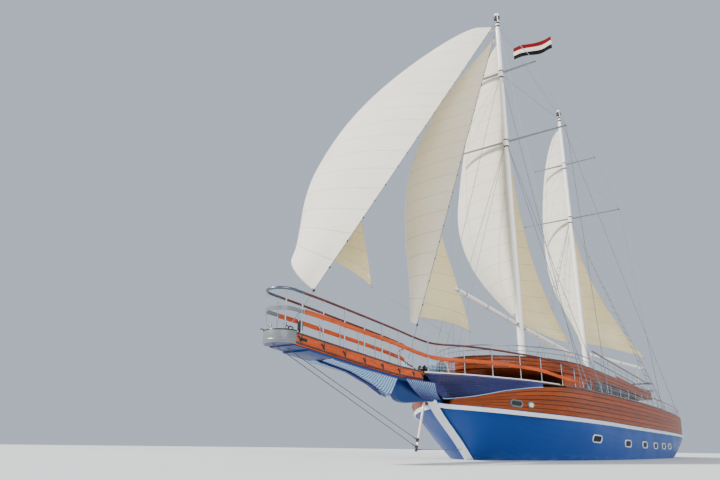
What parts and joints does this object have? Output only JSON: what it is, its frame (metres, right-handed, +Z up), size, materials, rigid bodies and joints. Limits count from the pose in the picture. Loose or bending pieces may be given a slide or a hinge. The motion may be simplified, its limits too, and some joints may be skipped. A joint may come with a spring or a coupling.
{
  "type": "two-masted sailing tour boat",
  "caption": "Wooden sailing tour boat with a long bow platform, a railed sun deck over the saloon, and jibs, mainsail and mizzen set.",
  "frame": {"origin": "on the centreline at the waterline, amidships of the hull", "axes": "+X forward to the bow, +Y to port, +Z up"},
  "size_m": [35.6627, 8.1642, 24.1903],
  "materials": {
    "blue_paint": "gloss marine paint over planking",
    "white_paint": "gloss",
    "varnished_wood": "varnished, orange brown",
    "light_wood": "varnished, light orange",
    "deck_wood": "scrubbed",
    "dark_wood": "varnished, dark brown",
    "steel": "polished tube",
    "rigging_wire": "wire rope",
    "bronze": "cast bronze",
    "sailcloth": "cream sailcloth",
    "flag_cloth": "red, white and black stripes",
    "pale_net": "knotted cord",
    "blue_net": "knotted cord",
    "window_glass": "tinted"
  },
  "bodies": {
    "root": {"hull": "blue_paint", "hull_top_planks": "blue_paint", "keel": "blue_paint", "stem_band": "white_paint", "rub_rail": "white_paint", "bulwark_port": "varnished_wood", "bulwark_starboard": "varnished_wood", "bulwark_stern": "varnished_wood", "cap_rail": "dark_wood", "main_deck": "deck_wood", "foredeck": "deck_wood", "forecastle_bulkhead": "varnished_wood", "bow_platform": "light_wood", "platform_nose": "white_paint", "bowsprit_beam": "blue_paint", "platform_net": "pale_net", "flare_net_port": "blue_net", "flare_net_starboard": "blue_net", "bow_rail_nose": "steel", "bow_rail_port": "steel", "bow_rail_starboard": "steel", "bow_plank_port": "light_wood", "bow_plank_starboard": "light_wood", "sun_deck": "deck_wood", "sun_deck_fascia": "varnished_wood", "sun_deck_rail_fore": "steel", "sun_deck_rail_aft": "dark_wood", "saloon_side_port": "light_wood", "saloon_side_starboard": "light_wood", "saloon_glass_port": "window_glass", "saloon_glass_starboard": "window_glass", "saloon_front": "light_wood", "saloon_glass_front": "window_glass", "saloon_aft": "light_wood", "side_panel_port": "light_wood", "side_panel_starboard": "light_wood", "main_mast": "white_paint", "mizzen_mast": "white_paint", "forestay_outer": "rigging_wire", "forestay_inner": "rigging_wire", "triatic_stay": "rigging_wire", "main_shrouds_port": "rigging_wire", "main_shrouds_starboard": "rigging_wire", "mizzen_shrouds_port": "rigging_wire", "mizzen_shrouds_starboard": "rigging_wire", "dolphin_striker": "rigging_wire", "jib_outer": "sailcloth", "jib_inner": "sailcloth", "main_sail": "sailcloth", "mizzen_sail": "sailcloth", "flag": "flag_cloth"},
    "main_boom": {"main_boom": "white_paint"},
    "mizzen_boom": {"mizzen_boom": "white_paint"},
    "fore_boom": {"fore_boom": "white_paint"},
    "rudder": {"rudder": "blue_paint"},
    "propeller": {"propeller": "bronze"},
    "saloon_door": {"saloon_door": "varnished_wood"}
  },
  "joints": [
    {"name": "main_boom_swing", "type": "hinge", "parent": "root", "child": "main_boom", "pos_m": [6.425, 0, 5.31], "axis": [0, 0, 1], "range_deg": [-78, 72]},
    {"name": "mizzen_boom_swing", "type": "hinge", "parent": "root", "child": "mizzen_boom", "pos_m": [-3.412, 0, 5.45], "axis": [0, 0, 1], "range_deg": [-20, 70]},
    {"name": "fore_boom_swing", "type": "hinge", "parent": "root", "child": "fore_boom", "pos_m": [6.877, 0, 5.35], "axis": [0, 0, 1], "range_deg": [-10, 42]},
    {"name": "rudder_turn", "type": "hinge", "parent": "root", "child": "rudder", "pos_m": [-11.45, 0, -1.5], "axis": [0, 0, 1], "range_deg": [-35, 35]},
    {"name": "propeller_spin", "type": "hinge", "parent": "root", "child": "propeller", "pos_m": [-10.3, 0, -1.56], "axis": [1, 0, 0], "continuous": true},
    {"name": "saloon_door_swing", "type": "hinge", "parent": "root", "child": "saloon_door", "pos_m": [-5.013, 0.38, 2.1], "axis": [0, 0, -1], "range_deg": [0, 110]}
  ]
}
